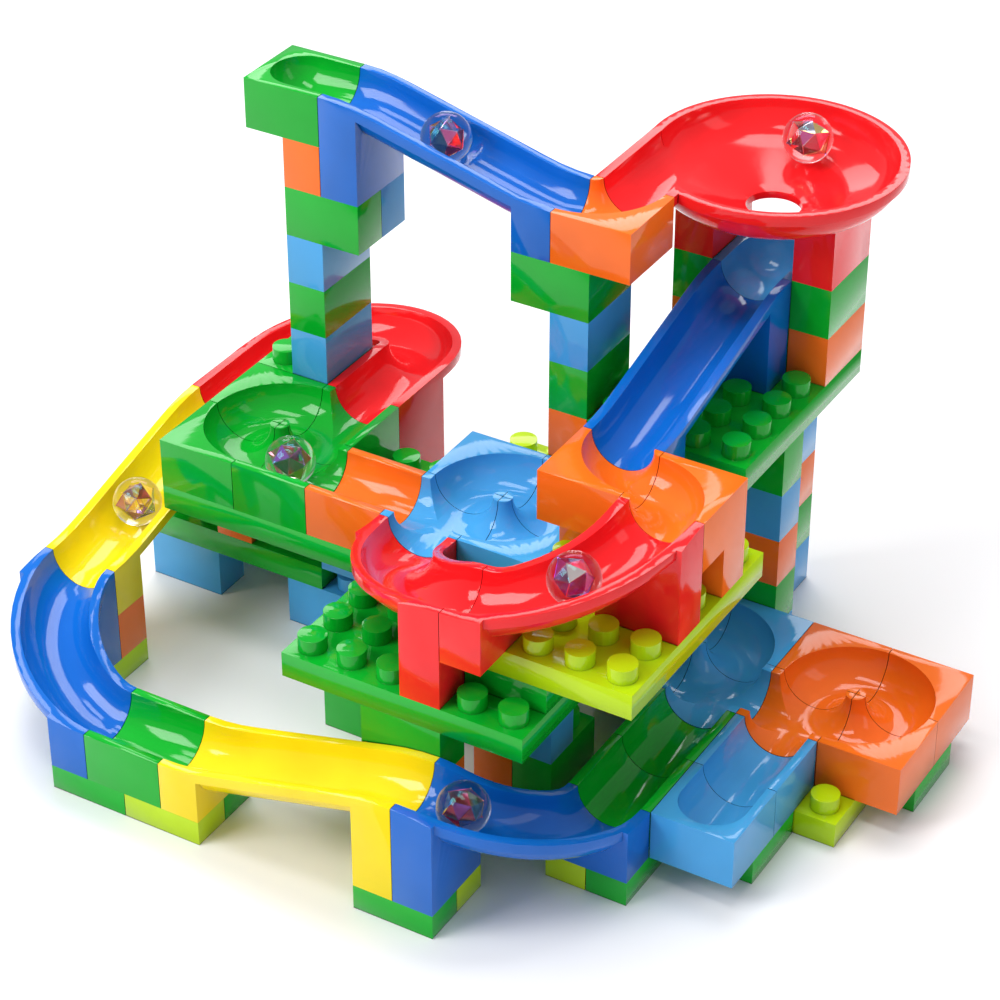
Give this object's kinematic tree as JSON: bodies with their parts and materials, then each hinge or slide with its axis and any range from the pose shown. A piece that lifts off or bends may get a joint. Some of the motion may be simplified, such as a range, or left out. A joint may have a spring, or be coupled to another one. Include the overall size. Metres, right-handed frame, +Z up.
{
  "type": "marble run",
  "caption": "Free-standing marble run of click-together bricks: ramps, curves, bowls and a funnel on towers, with glass marbles on the track.",
  "frame": {"origin": "centre of the overall box at the level of the surface it stands on", "axes": "+X along the start ramp towards the funnel, +Y towards the back, +Z up"},
  "size_m": [0.2398, 0.2158, 0.1575],
  "materials": {
    "green_plastic": "smooth injection-moulded ABS, glossy",
    "lime_plastic": "smooth injection-moulded ABS, glossy",
    "royal_blue_plastic": "smooth injection-moulded ABS, glossy",
    "light_blue_plastic": "smooth injection-moulded ABS, glossy",
    "orange_plastic": "smooth injection-moulded ABS, glossy",
    "red_plastic": "smooth injection-moulded ABS, glossy",
    "yellow_plastic": "smooth injection-moulded ABS, glossy",
    "marble_glass": "clear polished glass with a faceted iridescent core"
  },
  "bodies": {
    "root": {"start_tile": "green_plastic", "start_ramp": "royal_blue_plastic", "upper_corner_tile": "orange_plastic", "funnel": "red_plastic", "catch_tile": "light_blue_plastic", "funnel_ramp": "royal_blue_plastic", "bend_tile_left": "orange_plastic", "bend_tile_right": "orange_plastic", "red_curve_upper": "red_plastic", "red_curve_lower": "red_plastic", "centre_bowl_tile_1": "light_blue_plastic", "centre_bowl_tile_2": "light_blue_plastic", "centre_bowl_tile_3": "light_blue_plastic", "centre_bowl_tile_4": "light_blue_plastic", "upper_trough": "orange_plastic", "green_bowl_tile_1": "green_plastic", "green_bowl_tile_2": "green_plastic", "green_bowl_tile_3": "green_plastic", "green_bowl_tile_4": "green_plastic", "back_curve": "red_plastic", "left_ramp": "yellow_plastic", "left_curve": "royal_blue_plastic", "front_trough": "green_plastic", "front_ramp": "yellow_plastic", "front_curve": "royal_blue_plastic", "side_trough_1": "green_plastic", "side_trough_2": "green_plastic", "blue_bowl_tile_1": "light_blue_plastic", "blue_bowl_tile_2": "light_blue_plastic", "blue_bowl_tile_3": "light_blue_plastic", "blue_bowl_tile_4": "light_blue_plastic", "orange_bowl_tile_1": "orange_plastic", "orange_bowl_tile_2": "orange_plastic", "orange_bowl_tile_3": "orange_plastic", "orange_bowl_tile_4": "orange_plastic", "last_trough": "light_blue_plastic", "end_tile": "light_blue_plastic", "upper_plate": "green_plastic", "centre_plate": "lime_plastic", "mid_plate": "green_plastic", "right_plate": "lime_plastic", "tower_plate": "green_plastic", "base_plate": "green_plastic", "spacer_plates": "green_plastic", "ground_plates_green": "green_plastic", "ground_plates_lime": "lime_plastic", "start_tower_green": "green_plastic", "start_tower_blue": "light_blue_plastic", "start_tower_orange": "orange_plastic", "column_bricks_green": "green_plastic", "column_bricks_blue": "light_blue_plastic", "column_bricks_orange": "orange_plastic", "left_base_blue": "light_blue_plastic", "left_base_orange": "orange_plastic"},
    "marble_start_body": {"marble_start": "marble_glass"},
    "marble_funnel_body": {"marble_funnel": "marble_glass"},
    "marble_bowl_body": {"marble_bowl": "marble_glass"},
    "marble_left_body": {"marble_left": "marble_glass"},
    "marble_red_body": {"marble_red": "marble_glass"},
    "marble_front_body": {"marble_front": "marble_glass"}
  },
  "joints": [
    {"name": "start_marble_roll", "type": "slide", "parent": "root", "child": "marble_start_body", "axis": [0.9677, 0, -0.252], "range_m": [-0.024, 0.024]},
    {"name": "left_marble_roll", "type": "slide", "parent": "root", "child": "marble_left_body", "axis": [0, -0.9677, -0.252], "range_m": [-0.035, 0.013]},
    {"name": "bowl_marble_roll", "type": "slide", "parent": "root", "child": "marble_bowl_body", "axis": [1, 0, 0], "range_m": [-0.0114, 0.0606]},
    {"name": "funnel_marble_swirl", "type": "hinge", "parent": "root", "child": "marble_funnel_body", "pos_m": [0.036, 0.072, 0.1385], "axis": [0, 0, 1], "continuous": true},
    {"name": "red_marble_roll", "type": "hinge", "parent": "root", "child": "marble_red_body", "pos_m": [0.024, -0.036, 0.08836], "axis": [0.2145, 0.2145, -0.9529], "range_deg": [-18, 36]},
    {"name": "front_marble_roll", "type": "hinge", "parent": "root", "child": "marble_front_body", "pos_m": [0.024, -0.06, 0.03324], "axis": [0.2839, 0.1067, 0.9529], "range_deg": [-12, 38]}
  ]
}
